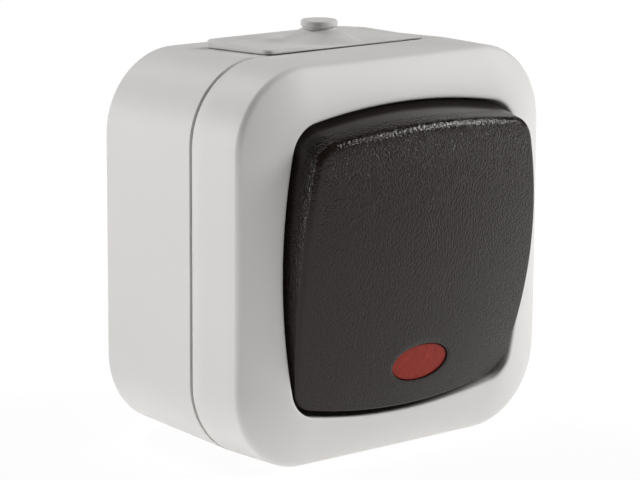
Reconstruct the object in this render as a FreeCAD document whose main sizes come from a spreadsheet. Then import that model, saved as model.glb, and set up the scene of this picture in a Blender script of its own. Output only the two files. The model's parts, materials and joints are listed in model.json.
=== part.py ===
"""Surface-mounted weatherproof rocker switch with an indicator lens.

Frame: origin at the centre of the face that goes against the wall. X runs to the right seen from the
front, Z runs up and the front looks along -Y. A depth is a distance in front of the wall, so a point
at depth d has y = -d.
"""
import FreeCAD, Part
import math
import os
import re
import Sketcher
from FreeCAD import Placement, Rotation, Vector

# Driving sizes in millimetres and degrees
SIZES = {
    # Housing
    "case_width": 66.0,
    "case_height": 66.0,
    "corner_radius": 13.6,
    "box_depth": 23.9,
    "back_draft": 0.76,
    "wall": 2.4,
    "back_wall": 2.2,
    "back_edge": 0.6,
    "seam_gap": 0.55,
    "gasket_width": 1.0,
    "gasket_sink": 0.9,
    "gasket_clearance": 0.05,
    "cover_depth": 11.3,
    "cover_draft": 0.1,
    "crease_edge": 0.4,
    "crown_height": 3.43,
    "crown_land": 0.2,
    "swell_width": 3.6,
    "swell_rise": 2.2,
    # Opening in the cover and the well behind it
    "opening_width": 52.1,
    "opening_height": 51.6,
    "opening_side_bow": 2.9,
    "opening_end_bow": 2.47,
    "opening_corner": 5.6,
    "opening_edge": 0.35,
    "well_depth": 10.0,
    "well_wall": 1.8,
    "floor_wall": 2.0,
    "channel_roof": 2.2,
    "aperture_clearance": 1.5,
    "lamp_gap": 0.1,
    "aperture_corner": 2.5,
    "collar_wall": 1.4,
    "collar_height": 2.4,
    # Fixings
    "cover_screw_x": 18.6,
    "cover_screw_z": 18.6,
    "post_diameter": 7.0,
    "screw_shank": 2.6,
    "pilot_clearance": 0.1,
    "pilot_depth": 11.0,
    "cover_hole": 3.2,
    "cover_screw_length": 11.0,
    "screw_head": 5.8,
    "screw_head_height": 1.6,
    "wall_hole": 4.4,
    "wall_hole_x": 20.5,
    "wall_hole_z": 20.5,
    "wall_collar": 8.0,
    "wall_collar_height": 2.5,
    "pillar_spacing": 33.0,
    "pillar_diameter": 6.5,
    "pillar_height": 2.8,
    "mechanism_hole": 3.2,
    "mechanism_screw_length": 8.0,
    # Cable entry
    "entry_width": 28.6,
    "entry_reach": 13.4,
    "entry_clearance": 0.15,
    "flange_overlap": 3.0,
    "flange_thickness": 1.0,
    "flange_corner": 1.6,
    "flange_edge": 0.5,
    "rim_width": 1.6,
    "rim_height": 0.6,
    "cone_base": 13.6,
    "cone_neck": 6.2,
    "cone_height": 1.5,
    "groove_diameter": 5.2,
    "groove_height": 0.45,
    "cap_diameter": 6.2,
    "cap_height": 1.1,
    "cap_edge": 0.4,
    "membrane_wall": 0.9,
    "cone_place": 7.0,
    # Rocker
    "pivot_recess": 2.6,
    "rocker_tilt": 8.0,
    "rocker_height": 8.85,
    "rocker_skirt": 2.5,
    "rocker_gap": 0.5,
    "rocker_side_taper": 0.3,
    "rocker_end_taper": 1.7,
    "rocker_edge": 0.8,
    "rocker_wall": 1.8,
    "face_wall": 2.0,
    "face_radius": 128.0,
    "lens_width": 12.1,
    "lens_height": 6.6,
    "lens_offset": 1.0,
    "lens_drop": 16.5,
    "lens_clearance": 0.12,
    "lens_recess": 0.3,
    "lens_flange": 0.8,
    "lens_depth": 3.4,
    "clip_offset": 6.2,
    "clip_width": 2.8,
    "clip_wall": 1.5,
    "clip_hook": 0.8,
    "clip_hook_height": 1.2,
    "clip_clearance": 0.1,
    # Carrier, plunger and spring
    "carrier_clearance": 0.4,
    "carrier_length": 24.0,
    "carrier_plate": 2.0,
    "carrier_rise": 1.5,
    "hub_diameter": 7.0,
    "trunnion_diameter": 4.0,
    "trunnion_clearance": 0.03,
    "barrel_diameter": 6.4,
    "barrel_length": 8.5,
    "bore_roof": 0.6,
    "plunger_diameter": 3.2,
    "plunger_length": 9.0,
    "plunger_tip": 0.9,
    "plunger_clearance": 0.03,
    "spring_diameter": 2.9,
    "spring_wire": 0.4,
    "spring_turns": 4.0,
    "spring_clearance": 0.05,
    # Mechanism base
    "base_width": 40.0,
    "base_margin": 1.0,
    "base_corner_cut": 10.0,
    "platform": 6.0,
    "tower_gap": 2.0,
    "chamber_width": 20.0,
    "chamber_height": 24.6,
    "ear_wall": 3.0,
    "tower_wall": 1.2,
    "ear_width": 8.6,
    "strip": 1.0,
    "strip_width": 5.0,
    "strip_clearance": 0.1,
    # Contacts and terminals
    "fulcrum_height": 9.13,
    "fulcrum_wall": 1.2,
    "contact_gap": 0.1,
    "seesaw_thickness": 0.8,
    "seesaw_reach": 10.6,
    "seesaw_width": 5.0,
    "tip_clearance": 0.2,
    "tip_place": 9.0,
    "tip_diameter": 3.0,
    "tip_height": 0.9,
    "pad_inner": 7.0,
    "leg_clearance": 0.5,
    "terminal_x": 7.0,
    "terminal_hole_place": 2.8,
    "terminal_width": 5.6,
    "terminal_gap": 0.5,
    "terminal_length": 6.0,
    "terminal_hole": 3.6,
    "terminal_shank": 3.4,
    "terminal_head": 5.2,
    "clamp_thickness": 1.2,
    # Indicator lamp
    "lamp_diameter": 4.0,
    "lamp_length": 13.0,
    "lamp_dome": 1.2,
    "lamp_clearance": 0.1,
    "holder_width": 8.0,
    "holder_height": 6.0,
    "holder_length": 8.0,
    "holder_floor": 3.0,
    "holder_rise": 4.13,
    "lead_wire": 0.6,
    "lead_spacing": 2.4,
    "lead_bend": 1.0,
}

# Derived depths, written with the names above
COVER_BACK = "(box_depth + seam_gap)"
CREASE = f"({COVER_BACK} + cover_depth)"
FRONT = f"({CREASE} + crown_height)"
FLOOR = f"({FRONT} - well_depth)"
FLOOR_BACK = f"({FLOOR} - floor_wall)"
PIVOT = f"({FRONT} - pivot_recess)"
BASE_BACK = "(back_wall + pillar_height)"
PLATFORM = f"({BASE_BACK} + platform)"
STRIP_FRONT = f"({PLATFORM} + strip)"
TOWER_FRONT = f"({FLOOR_BACK} - tower_gap)"
FULCRUM = f"({PLATFORM} + fulcrum_height)"
PLUNGER_REACH = f"({PIVOT} - {FULCRUM} - seesaw_thickness - tip_clearance)"
CONTACT_FRONT = f"({FULCRUM} - 2 * tip_height - contact_gap)"
CLAMP_FRONT = f"({STRIP_FRONT} + clamp_thickness)"
BORE_END = "(carrier_rise + carrier_plate - bore_roof)"
DRAFT_ANGLE = "atan(back_draft / box_depth)"

# Derived widths and heights of the mechanism
TOWER_WIDTH = "(chamber_width + 2 * ear_wall)"
TOWER_HEIGHT = "(chamber_height + 2 * tower_wall)"
CARRIER_WIDTH = "(chamber_width - 2 * carrier_clearance)"
LEG_OUTER = "(chamber_height / 2 - leg_clearance)"
TERMINAL_INNER = f"({TOWER_HEIGHT} / 2 + terminal_gap)"
TERMINAL_REACH = f"({TERMINAL_INNER} + terminal_length)"
TERMINAL_Z = f"({TERMINAL_INNER} + terminal_hole_place)"
HOLDER_BACK = f"({PLATFORM} + holder_rise)"
LAMP_PLACE = f"(-{TOWER_HEIGHT} / 2 - holder_height / 2)"

# Bowed sides of the opening
SIDE_RADIUS = ("(((opening_height / 2 - opening_end_bow)^2 + opening_side_bow^2)"
               " / (2 * opening_side_bow))")
END_RADIUS = ("(((opening_width / 2 - opening_side_bow)^2 + opening_end_bow^2)"
              " / (2 * opening_end_bow))")

doc = FreeCAD.newDocument("weatherproof_switch")
sheet = doc.addObject("Spreadsheet::Sheet", "Sizes")
for row, (alias, size) in enumerate(SIZES.items(), 1):
    sheet.set(f"A{row}", alias)
    sheet.set(f"B{row}", str(size))
    sheet.setAlias(f"B{row}", alias)
doc.recompute()

NAME = re.compile(r"[a-z][a-z_]*")
subparts = []


def formula(text):
    """The expression in which each size name points at its cell."""
    return NAME.sub(lambda m: f"Sizes.{m.group()}" if m.group() in SIZES else m.group(), str(text))


def value(text):
    """The number that a formula gives now."""
    result = sheet.evalExpression(formula(text))
    return float(getattr(result, "Value", result))


def bind(item, **formulas):
    """Tie properties of an object to the sheet."""
    for name, text in formulas.items():
        item.setExpression(name, formula(text))


def subpart(item, label):
    """Name a finished piece; the label names its file."""
    item.Label = label
    subparts.append(item)
    return item


def place(item, depth="0", turn=None):
    """Move a piece to a depth on the centre line, turned about X."""
    item.Placement = Placement(Vector(0, 0, 0), Rotation(Vector(1, 0, 0), 1.0 if turn else 0.0))
    item.setExpression("Placement.Base.y", formula(f"-{depth}"))
    if turn:
        item.setExpression("Placement.Rotation.Angle", formula(turn))


def new_body(name):
    return doc.addObject("PartDesign::Body", name)


def origin_item(body, role):
    return next(item for item in body.Origin.OriginFeatures if item.Role == role)


def new_sketch(body, role, across="0", along="0", lift="0"):
    """A sketch on an origin plane, shifted in the plane and along its normal."""
    sketch = body.newObject("Sketcher::SketchObject", "Sketch")
    sketch.AttachmentSupport = [(origin_item(body, role), "")]
    sketch.MapMode = "FlatFace"
    for axis, text in (("x", across), ("y", along), ("z", lift)):
        if text != "0":
            sketch.setExpression(f"AttachmentOffset.Base.{axis}", formula(text))
    return sketch


def front_sketch(body, depth, across="0", up="0"):
    """A sketch parallel to the wall; its pads grow towards the front."""
    return new_sketch(body, "XZ_Plane", across, up, depth)


def measure(sketch, kind, geometry, point, text):
    """Tie one coordinate of a sketch point to a formula."""
    index = sketch.addConstraint(Sketcher.Constraint(kind, -1, 1, geometry, point, value(text)))
    sketch.setExpression(f"Constraints[{index}]", formula(text))


def radius_of(sketch, geometry, text):
    index = sketch.addConstraint(Sketcher.Constraint("Radius", geometry, value(text)))
    sketch.setExpression(f"Constraints[{index}]", formula(text))


def join_ring(sketch, indices, kind):
    """Close a chain of lines and arcs, end to start."""
    for one, other in zip(indices, indices[1:] + indices[:1]):
        sketch.addConstraint(Sketcher.Constraint(kind, one, 2, other, 1))


def polygon(sketch, corners):
    """A closed outline of straight runs through corners given as formulas."""
    points = [Vector(value(x), value(y), 0) for x, y in corners]
    lines = [sketch.addGeometry(Part.LineSegment(a, b), False)
             for a, b in zip(points, points[1:] + points[:1])]
    join_ring(sketch, lines, "Coincident")
    for line, (x, y) in zip(lines, corners):
        measure(sketch, "DistanceX", line, 1, x)
        measure(sketch, "DistanceY", line, 1, y)


def rectangle(sketch, left, right, low, high):
    polygon(sketch, [(left, low), (right, low), (right, high), (left, high)])


def circle(sketch, diameter, x="0", y="0"):
    centre = Vector(value(x), value(y), 0)
    ring = sketch.addGeometry(Part.Circle(centre, Vector(0, 0, 1), value(diameter) / 2), False)
    measure(sketch, "DistanceX", ring, 3, x)
    measure(sketch, "DistanceY", ring, 3, y)
    radius_of(sketch, ring, f"({diameter}) / 2")


def arc(sketch, centre, radius, start, end):
    """An arc drawn anticlockwise between two directions in radians."""
    curve = Part.Circle(centre, Vector(0, 0, 1), radius)
    return sketch.addGeometry(Part.ArcOfCircle(curve, start, end), False)


def rounded_rectangle(sketch, left, right, low, high, corner):
    """A rectangle with round corners: bottom, right, top and left sides with the arcs between."""
    x0, x1, y0, y1, r = (value(text) for text in (left, right, low, high, corner))
    quarter = math.pi / 2
    sides = [((x0 + r, y0), (x1 - r, y0)), ((x1, y0 + r), (x1, y1 - r)),
             ((x1 - r, y1), (x0 + r, y1)), ((x0, y1 - r), (x0, y0 + r))]
    centres = [(x1 - r, y0 + r), (x1 - r, y1 - r), (x0 + r, y1 - r), (x0 + r, y0 + r)]
    ring = []
    for side, ((start, end), centre) in enumerate(zip(sides, centres)):
        ring.append(sketch.addGeometry(Part.LineSegment(Vector(*start, 0), Vector(*end, 0)), False))
        ring.append(arc(sketch, Vector(*centre, 0), r, (side - 1) * quarter, side * quarter))
    join_ring(sketch, ring, "Tangent")
    bottom, right_side, top, left_side = ring[0::2]
    for line in (bottom, top):
        sketch.addConstraint(Sketcher.Constraint("Horizontal", line))
    for line in (right_side, left_side):
        sketch.addConstraint(Sketcher.Constraint("Vertical", line))
    for curve in ring[1::2]:
        radius_of(sketch, curve, corner)
    measure(sketch, "DistanceY", bottom, 1, low)
    measure(sketch, "DistanceX", right_side, 1, right)
    measure(sketch, "DistanceY", top, 1, high)
    measure(sketch, "DistanceX", left_side, 1, left)


def case_outline(sketch, inset, thinner="0"):
    """The rounded square of the housing, drawn in by an inset, with its corners tightened by a wall."""
    rounded_rectangle(sketch, f"{inset} - case_width / 2", f"case_width / 2 - ({inset})",
                      f"{inset} - case_height / 2", f"case_height / 2 - ({inset})",
                      f"corner_radius - ({thinner})")


def cushion(sketch, width, height, side_radius, end_radius, corner):
    """A square with bowed sides: four shallow arcs joined by corner arcs."""
    half_width, half_height = value(width) / 2, value(height) / 2
    side, end, r = value(side_radius), value(end_radius), value(corner)
    side_centre, end_centre = half_width - side, half_height - end
    # The corner's centre lies at (side - r) from one arc's centre and (end - r) from the other's
    span = math.hypot(side_centre, end_centre)
    along = ((side - r) ** 2 - (end - r) ** 2 + span ** 2) / (2 * span)
    off = math.sqrt((side - r) ** 2 - along ** 2)
    ux, uy = -side_centre / span, end_centre / span
    corner_x = side_centre + along * ux - off * uy
    corner_y = along * uy + off * ux
    if corner_x < 0 or corner_y < 0:
        corner_x = side_centre + along * ux + off * uy
        corner_y = along * uy - off * ux
    low = math.atan2(corner_y, corner_x - side_centre)
    high = math.atan2(corner_y - end_centre, corner_x)
    turn = math.pi
    ring = [
        arc(sketch, Vector(side_centre, 0, 0), side, -low, low),
        arc(sketch, Vector(corner_x, corner_y, 0), r, low, high),
        arc(sketch, Vector(0, end_centre, 0), end, high, turn - high),
        arc(sketch, Vector(-corner_x, corner_y, 0), r, turn - high, turn - low),
        arc(sketch, Vector(-side_centre, 0, 0), side, turn - low, turn + low),
        arc(sketch, Vector(-corner_x, -corner_y, 0), r, turn + low, turn + high),
        arc(sketch, Vector(0, -end_centre, 0), end, turn + high, 2 * turn - high),
        arc(sketch, Vector(corner_x, -corner_y, 0), r, 2 * turn - high, 2 * turn - low),
    ]
    join_ring(sketch, ring, "Tangent")
    shift_x = f"({width}) / 2 - ({side_radius})"
    shift_y = f"({height}) / 2 - ({end_radius})"
    centres = [(shift_x, "0"), ("0", shift_y), (f"-({shift_x})", "0"), ("0", f"-({shift_y})")]
    for curve, (x, y), radius in zip(ring[0::2], centres, (side_radius, end_radius) * 2):
        measure(sketch, "DistanceX", curve, 3, x)
        measure(sketch, "DistanceY", curve, 3, y)
        radius_of(sketch, curve, radius)
    for curve in ring[1::2]:
        radius_of(sketch, curve, corner)


def opening_outline(sketch, side_inset, end_inset=None):
    """The outline of the cover's opening, drawn in by one inset at the sides and one at the ends."""
    end_inset = end_inset or side_inset
    cushion(sketch, f"opening_width - 2 * ({side_inset})", f"opening_height - 2 * ({end_inset})",
            f"{SIDE_RADIUS} - ({side_inset})", f"{END_RADIUS} - ({end_inset})",
            f"opening_corner - ({side_inset} + {end_inset}) / 2")


def feature(body, kind, sketch, **formulas):
    """A sketch-based feature of a body with its sizes tied to the sheet."""
    made = body.newObject(f"PartDesign::{kind}", kind)
    made.Profile = sketch
    bind(made, **formulas)
    return made


def pad(body, sketch, length, reverse=False, both_ways=False):
    made = feature(body, "Pad", sketch, Length=length)
    made.Reversed = reverse
    if both_ways:
        made.SideType = "Symmetric"
    return made


def pocket(body, sketch, length, reverse=False):
    """Cut from the sketch towards the wall, or towards the front when reversed."""
    made = feature(body, "Pocket", sketch, Length=length)
    made.Reversed = reverse
    return made


def loft(body, kind, first, *sections, ruled=True):
    made = feature(body, kind, first)
    made.Sections = list(sections)
    made.Ruled = ruled
    return made


def turn_about(body, kind, sketch, axis):
    made = feature(body, kind, sketch)
    made.ReferenceAxis = (sketch, [axis])
    made.Angle = 360
    return made


def twice_around(body, *originals):
    """Repeat features half a turn about the line that runs from the wall to the front."""
    pattern = body.newObject("PartDesign::PolarPattern", "PolarPattern")
    pattern.Originals = list(originals)
    pattern.Axis = (origin_item(body, "Y_Axis"), [""])
    pattern.Angle = 360
    pattern.Occurrences = 2
    body.Tip = pattern
    return pattern


def mirrored(body, *originals):
    """Repeat features on the other side of the centre plane."""
    pattern = body.newObject("PartDesign::Mirrored", "Mirrored")
    pattern.Originals = list(originals)
    pattern.MirrorPlane = (origin_item(body, "YZ_Plane"), [""])
    body.Tip = pattern
    return pattern


def break_edges(body, base, test, size):
    """Bevel those edges of the feature made last that pass a test."""
    doc.recompute()
    made = body.newObject("PartDesign::Chamfer", "Chamfer")
    made.Base = (base, [f"Edge{i}" for i, edge in enumerate(base.Shape.Edges, 1) if test(edge)])
    bind(made, Size=size)


def make_rear_box():
    body = new_body("RearBox")
    foot = front_sketch(body, "0")
    case_outline(foot, "(back_draft + back_edge)")
    back = front_sketch(body, "back_edge")
    case_outline(back, "back_draft")
    rim = front_sketch(body, "box_depth")
    case_outline(rim, "0")
    loft(body, "AdditiveLoft", foot, back, rim)
    floor = front_sketch(body, "back_wall")
    case_outline(floor, "(back_draft + wall)", "wall")
    mouth = front_sketch(body, "box_depth")
    case_outline(mouth, "wall", "wall")
    loft(body, "SubtractiveLoft", floor, mouth)
    # Posts for the cover, pillars for the mechanism and collars round the wall-screw holes
    posts = front_sketch(body, "back_wall / 2")
    circle(posts, "post_diameter", "-cover_screw_x", "cover_screw_z")
    circle(posts, "post_diameter", "cover_screw_x", "-cover_screw_z")
    pad(body, posts, f"{FLOOR_BACK} - back_wall / 2")
    pillars = front_sketch(body, "back_wall / 2")
    circle(pillars, "pillar_diameter", "-pillar_spacing / 2")
    circle(pillars, "pillar_diameter", "pillar_spacing / 2")
    pad(body, pillars, "back_wall / 2 + pillar_height")
    collars = front_sketch(body, "back_wall / 2")
    circle(collars, "wall_collar", "wall_hole_x", "wall_hole_z")
    circle(collars, "wall_collar", "-wall_hole_x", "-wall_hole_z")
    pad(body, collars, "back_wall / 2 + wall_collar_height")
    holes = front_sketch(body, "back_wall + wall_collar_height")
    circle(holes, "wall_hole", "wall_hole_x", "wall_hole_z")
    circle(holes, "wall_hole", "-wall_hole_x", "-wall_hole_z")
    pocket(body, holes, "back_wall + wall_collar_height")
    pilots = front_sketch(body, FLOOR_BACK)
    circle(pilots, "screw_shank + 2 * pilot_clearance", "-cover_screw_x", "cover_screw_z")
    circle(pilots, "screw_shank + 2 * pilot_clearance", "cover_screw_x", "-cover_screw_z")
    pocket(body, pilots, "pilot_depth")
    anchors = front_sketch(body, BASE_BACK)
    circle(anchors, "screw_shank + 2 * pilot_clearance", "-pillar_spacing / 2")
    circle(anchors, "screw_shank + 2 * pilot_clearance", "pillar_spacing / 2")
    pocket(body, anchors, f"{BASE_BACK} - back_wall / 2")
    # Cut-out of the cable entry, open towards the cover
    entry = front_sketch(body, "box_depth")
    rectangle(entry, "-entry_width / 2", "entry_width / 2",
              "case_height / 2 - 2 * wall", "case_height / 2 + wall")
    pocket(body, entry, "entry_reach")
    subpart(body, "rear_box")


def make_front_cover():
    body = new_body("FrontCover")
    seam = front_sketch(body, COVER_BACK)
    case_outline(seam, "0")
    # Broken edge between the side and the swelling front, which runs up to the opening's rim
    shoulder = front_sketch(body, f"{CREASE} - crease_edge")
    case_outline(shoulder, "cover_draft")
    crease = front_sketch(body, f"{CREASE} + crease_edge / 2")
    case_outline(crease, "(cover_draft + crease_edge / 2)")
    swell = front_sketch(body, f"{CREASE} + swell_rise")
    opening_outline(swell, "(-swell_width)")
    top = front_sketch(body, FRONT)
    opening_outline(top, "(-opening_edge - crown_land)")
    loft(body, "AdditiveLoft", seam, shoulder, crease, swell, top)
    # Well for the rocker with a broken edge, the hollow behind its floor and the channel round it
    well = front_sketch(body, FRONT)
    opening_outline(well, "0")
    pocket(body, well, "well_depth")
    mouth = front_sketch(body, FRONT)
    opening_outline(mouth, "-opening_edge")
    throat = front_sketch(body, f"{FRONT} - opening_edge")
    opening_outline(throat, "0")
    loft(body, "SubtractiveLoft", mouth, throat)
    hollow = front_sketch(body, COVER_BACK)
    case_outline(hollow, "wall", "wall")
    pocket(body, hollow, f"{FLOOR_BACK} - {COVER_BACK}", reverse=True)
    channel = front_sketch(body, FLOOR_BACK)
    case_outline(channel, "(wall + cover_draft)", "wall")
    opening_outline(channel, "-well_wall")
    pocket(body, channel, f"{CREASE} + crown_height / 2 - channel_roof - {FLOOR_BACK}", reverse=True)
    # Groove of the gasket
    groove = front_sketch(body, COVER_BACK)
    for inset in ("(wall - gasket_width) / 2", "(wall + gasket_width) / 2"):
        case_outline(groove, inset, inset)
    pocket(body, groove, "gasket_sink", reverse=True)
    # Aperture of the mechanism with its upstand, and the holes of the cover screws
    collar = front_sketch(body, FLOOR_BACK)
    aperture_outline(collar, "-collar_wall")
    pad(body, collar, "floor_wall + collar_height")
    aperture = front_sketch(body, f"{FLOOR} + collar_height")
    aperture_outline(aperture, "0")
    pocket(body, aperture, "floor_wall + collar_height")
    holes = front_sketch(body, FLOOR)
    circle(holes, "cover_hole", "-cover_screw_x", "cover_screw_z")
    circle(holes, "cover_hole", "cover_screw_x", "-cover_screw_z")
    pocket(body, holes, "floor_wall")
    subpart(body, "front_cover")


def aperture_outline(sketch, inset):
    half_width = f"({TOWER_WIDTH} / 2 + aperture_clearance)"
    high = f"({TOWER_HEIGHT} / 2 + aperture_clearance)"
    low = f"({TOWER_HEIGHT} / 2 + holder_height + lamp_gap)"
    rounded_rectangle(sketch, f"{inset} - {half_width}", f"{half_width} - ({inset})",
                      f"{inset} - {low}", f"{high} - ({inset})", f"aperture_corner - ({inset})")


def make_cover_gasket():
    body = new_body("CoverGasket")
    ring = front_sketch(body, "box_depth")
    for inset in ("((wall - gasket_width) / 2 + gasket_clearance)",
                  "((wall + gasket_width) / 2 - gasket_clearance)"):
        case_outline(ring, inset, inset)
    pad(body, ring, "seam_gap + gasket_sink")
    subpart(body, "cover_gasket")


def make_cable_membrane():
    """Built flat on its outer flange, with y running from the seam to the wall, then laid on the top."""
    body = new_body("CableMembrane")
    side, reach = "(entry_width / 2 + flange_overlap)", "(entry_reach + flange_overlap)"
    outer = new_sketch(body, "XY_Plane", lift="entry_clearance")
    rounded_rectangle(outer, f"-{side}", side, "0", reach, "flange_corner")
    pad(body, outer, "flange_thickness - flange_edge")
    shoulder = new_sketch(body, "XY_Plane", lift="entry_clearance + flange_thickness - flange_edge")
    rounded_rectangle(shoulder, f"-{side}", side, "0", reach, "flange_corner")
    bevel = new_sketch(body, "XY_Plane", lift="entry_clearance + flange_thickness")
    rounded_rectangle(bevel, f"flange_edge - {side}", f"{side} - flange_edge", "flange_edge",
                      f"{reach} - flange_edge", "flange_corner")
    loft(body, "AdditiveLoft", shoulder, bevel)
    # The plate lies lower inside its rim
    skin = "(entry_clearance + flange_thickness)"
    plate = new_sketch(body, "XY_Plane", lift=skin)
    rounded_rectangle(plate, f"rim_width - {side}", f"{side} - rim_width", "rim_width",
                      f"{reach} - rim_width", "flange_corner / 2")
    pocket(body, plate, "rim_height")
    web = new_sketch(body, "XY_Plane", lift="entry_clearance")
    rectangle(web, "entry_clearance - entry_width / 2", "entry_width / 2 - entry_clearance",
              "entry_clearance", "entry_reach - entry_clearance")
    pad(body, web, "wall + 2 * entry_clearance", reverse=True)
    inner = new_sketch(body, "XY_Plane", lift="-wall - entry_clearance")
    rounded_rectangle(inner, f"-{side}", side, "2 * entry_clearance", reach, "flange_corner")
    pad(body, inner, "flange_thickness", reverse=True)
    # Cone and nipple turned about their own line, then hollowed from inside
    neck = f"({skin} + cone_height)"
    cap = f"({neck} + groove_height)"
    nipple = new_sketch(body, "YZ_Plane", across="cone_place")
    polygon(nipple, [("0", "0"), ("cone_base / 2", "0"), ("cone_base / 2", f"{skin} - rim_height"),
                     ("cone_neck / 2", neck), ("groove_diameter / 2", neck),
                     ("groove_diameter / 2", cap), ("cap_diameter / 2", cap),
                     ("cap_diameter / 2", f"{cap} + cap_height - cap_edge"),
                     ("cap_diameter / 2 - cap_edge", f"{cap} + cap_height"), ("0", f"{cap} + cap_height")])
    turn_about(body, "Revolution", nipple, "V_Axis")
    hollow = new_sketch(body, "YZ_Plane", across="cone_place")
    under = "(-wall - entry_clearance - flange_thickness)"
    thin = "membrane_wall"
    wide, narrow = f"cone_base / 2 - {thin}", f"groove_diameter / 2 - {thin}"
    polygon(hollow, [("0", f"{under} - {thin}"), (wide, f"{under} - {thin}"), (wide, f"{skin} - {thin}"),
                     (narrow, f"{skin} - {thin}"), (narrow, f"{cap} + cap_height - {thin}"),
                     ("0", f"{cap} + cap_height - {thin}")])
    turn_about(body, "Groove", hollow, "V_Axis")
    body.Placement = Placement(Vector(0, 0, 0), Rotation(Vector(1, 0, 0), -1))
    body.setExpression("Placement.Base.y", formula("-box_depth"))
    body.setExpression("Placement.Base.z", formula("case_height / 2"))
    body.setExpression("Placement.Rotation.Angle", formula(f"-{DRAFT_ANGLE}"))
    subpart(body, "cable_membrane")


def make_screws(label, x, z, seat, length, shank, head):
    """Two cheese-head screws half a turn apart; the heads sit on a seat at a depth."""
    body = new_body("Screws")
    half = new_sketch(body, "XY_Plane", across=x, lift=z)
    screw_profile(half, seat, length, shank, head)
    screw = turn_about(body, "Revolution", half, "V_Axis")
    twice_around(body, screw)
    subpart(body, label)


def screw_profile(sketch, seat, length, shank, head):
    """Half a screw: shank, seat and a plain cheese head."""
    top = f"{seat} + screw_head_height"
    polygon(sketch, [("0", f"{length} - {seat}"), (f"{shank} / 2", f"{length} - {seat}"),
                     (f"{shank} / 2", f"-{seat}"), (f"{head} / 2", f"-{seat}"),
                     (f"{head} / 2", f"-({top})"), ("0", f"-({top})")])


def make_rocker():
    """Built about its pivot with the face level, then tilted to its switched position."""
    crest = "rocker_height"
    top = f"({crest} + face_wall)"
    skin_body, skin_cut = rocker_block("RockerSkin", "rocker_gap", top, "face_radius", crest)
    rim = value("rocker_height / 4")
    break_edges(skin_body, skin_cut, lambda edge: edge.BoundBox.YMax < -rim and
                edge.BoundBox.XLength + edge.BoundBox.ZLength > edge.BoundBox.YLength, "rocker_edge")
    core_body, _ = rocker_block("RockerCore", "(rocker_gap + rocker_wall)", top,
                                "face_radius - face_wall", f"({crest} - face_wall)")
    clips = new_body("RockerClips")
    legs = new_sketch(clips, "YZ_Plane", lift="clip_offset")
    for sign in ("", "-"):
        inner = "(carrier_length / 2 + clip_clearance)"
        outer = f"({inner} + clip_wall)"
        hook = "(carrier_rise - clip_clearance)"
        root = f"({crest} - face_wall / 2 - ({outer})^2 / (2 * face_radius))"
        polygon(legs, [(f"-{root}", f"{sign}{inner}"), (f"-{hook}", f"{sign}{inner}"),
                       (f"-{hook}", f"{sign}({inner} - clip_hook)"),
                       (f"clip_hook_height - {hook}", f"{sign}{inner}"),
                       (f"clip_hook_height - {hook}", f"{sign}{outer}"),
                       (f"-{root}", f"{sign}{outer}")])
    mirrored(clips, pad(clips, legs, "clip_width"))
    hollow = doc.addObject("Part::Cut", "RockerShell")
    hollow.Base, hollow.Tool = skin_body, core_body
    whole = doc.addObject("Part::Fuse", "RockerWithClips")
    whole.Base, whole.Tool = hollow, clips
    rocker = doc.addObject("Part::Cut", "Rocker")
    rocker.Base = whole
    rocker.Tool = lens_prism("LensHole", "0", "rocker_height / 2", top)
    place(rocker, PIVOT, "rocker_tilt")
    subpart(rocker, "rocker")


def rocker_block(name, inset, top, radius, crest):
    """A tapered block on the opening's outline, cut off by a sphere that gives the crowned face."""
    body = new_body(name)
    skirt = front_sketch(body, "-rocker_skirt")
    opening_outline(skirt, inset)
    crown = front_sketch(body, top)
    opening_outline(crown, f"({inset} + rocker_side_taper)", f"({inset} + rocker_end_taper)")
    loft(body, "AdditiveLoft", skirt, crown)
    # Half profile of what lies outside the sphere, turned about the upright line through its centre
    ball = new_sketch(body, "YZ_Plane", across=f"{radius} - {crest}")
    size, reach = value(radius), value("opening_height / 2")
    angle = math.asin(reach / size)
    outside_depth = -value(f"{radius} + rocker_height")
    curve = arc(ball, Vector(0, 0, 0), size, math.pi - angle, math.pi + angle)
    points = [Vector(-size * math.cos(angle), -reach, 0), Vector(outside_depth, -reach, 0),
              Vector(outside_depth, reach, 0), Vector(-size * math.cos(angle), reach, 0)]
    lines = [ball.addGeometry(Part.LineSegment(a, b), False) for a, b in zip(points, points[1:])]
    join_ring(ball, [curve] + lines, "Coincident")
    measure(ball, "DistanceX", curve, 3, "0")
    measure(ball, "DistanceY", curve, 3, "0")
    radius_of(ball, curve, radius)
    measure(ball, "DistanceY", curve, 1, "opening_height / 2")
    measure(ball, "DistanceY", curve, 2, "-opening_height / 2")
    measure(ball, "DistanceX", lines[1], 1, f"-({radius} + rocker_height)")
    ball.addConstraint(Sketcher.Constraint("Vertical", lines[1]))
    for line in (lines[0], lines[2]):
        ball.addConstraint(Sketcher.Constraint("Horizontal", line))
    cut = turn_about(body, "Groove", ball, "V_Axis")
    cut.Angle = 60
    cut.Midplane = True
    return body, cut


def lens_prism(name, margin, back, front):
    """An oval prism in line with the lens, in the rocker's own frame."""
    oval = doc.addObject("Part::Ellipse", f"{name}Oval")
    bind(oval, MajorRadius=f"lens_width / 2 + {margin}", MinorRadius=f"lens_height / 2 + {margin}")
    oval.Placement = Placement(Vector(0, 0, 0), Rotation(Vector(1, 0, 0), 90))
    oval.setExpression("Placement.Base.x", formula("lens_offset"))
    oval.setExpression("Placement.Base.y", formula(f"-({back})"))
    oval.setExpression("Placement.Base.z", formula("-lens_drop"))
    prism = doc.addObject("Part::Extrusion", name)
    prism.Base = oval
    prism.DirMode = "Custom"
    prism.Dir = Vector(0, -1, 0)
    prism.Solid = True
    bind(prism, LengthFwd=f"{front} - ({back})")
    return prism


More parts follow.
